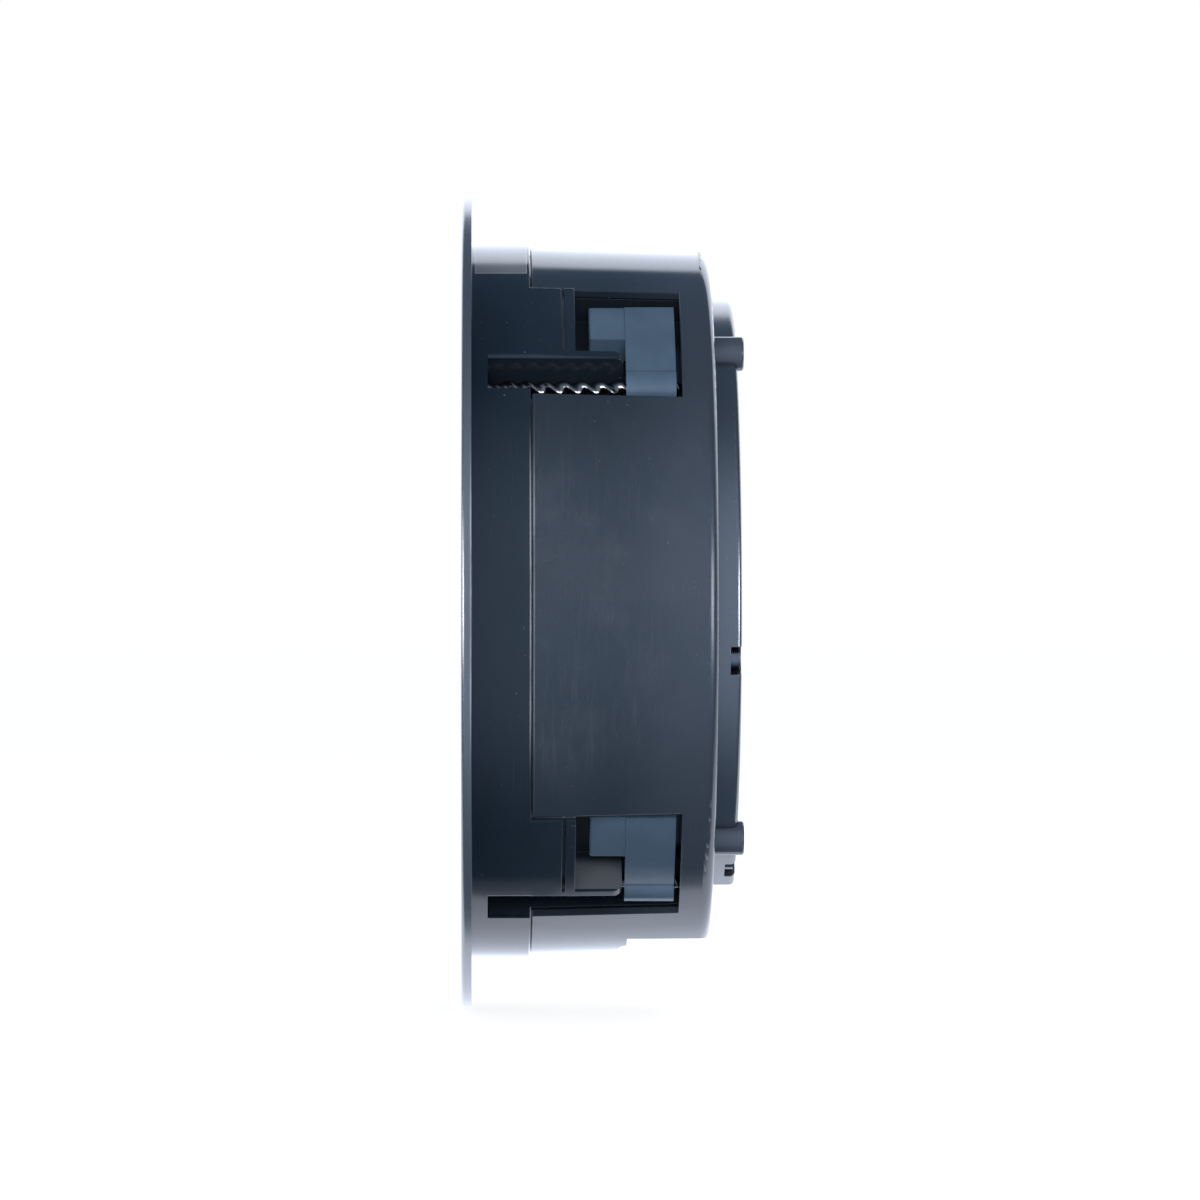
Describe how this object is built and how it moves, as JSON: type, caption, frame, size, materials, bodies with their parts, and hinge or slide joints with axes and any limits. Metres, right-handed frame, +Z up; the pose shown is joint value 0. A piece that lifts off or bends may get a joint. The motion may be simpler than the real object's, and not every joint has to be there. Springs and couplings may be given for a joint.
{
  "type": "in wall speaker",
  "caption": "Round flush-mount loudspeaker with a thin flange, closed back can, swing-out clamps, coaxial driver and push terminals, held in a wall or ceiling cut-out.",
  "frame": {"origin": "centre of the flange's back face, in the plane of the wall's surface", "axes": "+Y into the wall along the speaker's axis, front towards -Y, +Z up"},
  "size_m": [0.23, 0.0775, 0.23],
  "materials": {
    "frame_plastic": "moulded black, satin",
    "can_plastic": "moulded black, semi-gloss",
    "cover_plastic": "moulded black, semi-gloss",
    "clamp_plastic": "glass-filled nylon, blue-grey",
    "zinc_screw": "dark zinc plated",
    "black_screw": "blackened steel",
    "grille_steel": "perforated steel, powder coated black",
    "scrim_cloth": "open weave scrim",
    "grille_magnet": "nickel plated",
    "foam_gasket": "closed-cell foam",
    "basket_steel": "pressed steel, black coated",
    "cone_paper": "coated pulp",
    "surround_rubber": "butyl rubber",
    "spider_cloth": "resin-stiffened cotton",
    "coil_copper": "enamelled copper winding",
    "plated_steel": "zinc plated steel",
    "ferrite": "sintered ferrite",
    "tweeter_plastic": "moulded black",
    "dome_silk": "coated silk",
    "circuit_board": "green solder mask",
    "capacitor_sleeve": "shrink sleeve",
    "resistor_ceramic": "cast ceramic",
    "terminal_plastic": "moulded black",
    "lever_red": "moulded red",
    "lever_black": "moulded black",
    "contact_brass": "tinned brass"
  },
  "bodies": {
    "frame": {"front_frame": "frame_plastic", "rear_can": "can_plastic", "rear_cover": "cover_plastic", "rear_cover_screws": "black_screw", "can_screws": "black_screw", "grille_magnets": "grille_magnet", "driver_gasket": "foam_gasket", "driver_basket": "basket_steel", "driver_screws": "black_screw", "surround": "surround_rubber", "spider": "spider_cloth", "top_plate": "plated_steel", "ferrite_magnet": "ferrite", "pole_yoke": "plated_steel", "tweeter_post": "plated_steel", "post_nut": "plated_steel", "tweeter_housing": "tweeter_plastic", "tweeter_dome": "dome_silk", "tweeter_magnet": "grille_magnet", "crossover_board": "circuit_board", "crossover_screws": "zinc_screw", "crossover_coil": "coil_copper", "crossover_capacitor": "capacitor_sleeve", "crossover_resistor": "resistor_ceramic", "terminal_block": "terminal_plastic", "terminal_screws": "zinc_screw", "terminal_contacts": "contact_brass"},
    "grille": {"grille": "grille_steel", "grille_cloth": "scrim_cloth"},
    "cone": {"woofer_cone": "cone_paper", "voice_coil": "coil_copper"},
    "lever_red": {"terminal_lever_red": "lever_red"},
    "lever_black": {"terminal_lever_black": "lever_black"},
    "clamp_top_right": {"clamp_top_right": "clamp_plastic"},
    "screw_top_right": {"clamp_screw_top_right": "zinc_screw"},
    "clamp_bottom_right": {"clamp_bottom_right": "clamp_plastic"},
    "screw_bottom_right": {"clamp_screw_bottom_right": "zinc_screw"},
    "clamp_top_left": {"clamp_top_left": "clamp_plastic"},
    "screw_top_left": {"clamp_screw_top_left": "zinc_screw"},
    "clamp_bottom_left": {"clamp_bottom_left": "clamp_plastic"},
    "screw_bottom_left": {"clamp_screw_bottom_left": "zinc_screw"}
  },
  "joints": [
    {"name": "grille_pull", "type": "slide", "parent": "frame", "child": "grille", "axis": [0, -1, 0], "range_m": [0, 0.04]},
    {"name": "cone_travel", "type": "slide", "parent": "frame", "child": "cone", "axis": [0, 1, 0], "range_m": [-0.003, 0.003], "stiffness_N_per_m": 1200, "deforming": ["surround", "spider"]},
    {"name": "lever_press_red", "type": "slide", "parent": "frame", "child": "lever_red", "axis": [0, 0, 1], "range_m": [0, 0.002], "stiffness_N_per_m": 800},
    {"name": "lever_press_black", "type": "slide", "parent": "frame", "child": "lever_black", "axis": [0, 0, 1], "range_m": [0, 0.002], "stiffness_N_per_m": 800},
    {"name": "clamp_swing_top_right", "type": "hinge", "parent": "frame", "child": "clamp_top_right", "pos_m": [0.07315, 0.0487, 0.05704], "axis": [0, 1, 0], "range_deg": [0, 90]},
    {"name": "screw_turn_top_right", "type": "hinge", "parent": "frame", "child": "screw_top_right", "pos_m": [0.07315, 0, 0.05704], "axis": [0, 1, 0], "continuous": true},
    {"name": "clamp_swing_bottom_right", "type": "hinge", "parent": "frame", "child": "clamp_bottom_right", "pos_m": [0.05058, 0.0487, -0.07775], "axis": [0, 1, 0], "range_deg": [0, 90]},
    {"name": "screw_turn_bottom_right", "type": "hinge", "parent": "frame", "child": "screw_bottom_right", "pos_m": [0.05058, 0, -0.07775], "axis": [0, 1, 0], "continuous": true},
    {"name": "clamp_swing_top_left", "type": "hinge", "parent": "frame", "child": "clamp_top_left", "pos_m": [-0.05179, 0.0487, 0.07695], "axis": [0, 1, 0], "range_deg": [0, 90]},
    {"name": "screw_turn_top_left", "type": "hinge", "parent": "frame", "child": "screw_top_left", "pos_m": [-0.05179, 0, 0.07695], "axis": [0, 1, 0], "continuous": true},
    {"name": "clamp_swing_bottom_left", "type": "hinge", "parent": "frame", "child": "clamp_bottom_left", "pos_m": [-0.07224, 0.0487, -0.05818], "axis": [0, 1, 0], "range_deg": [0, 90]},
    {"name": "screw_turn_bottom_left", "type": "hinge", "parent": "frame", "child": "screw_bottom_left", "pos_m": [-0.07224, 0, -0.05818], "axis": [0, 1, 0], "continuous": true}
  ]
}
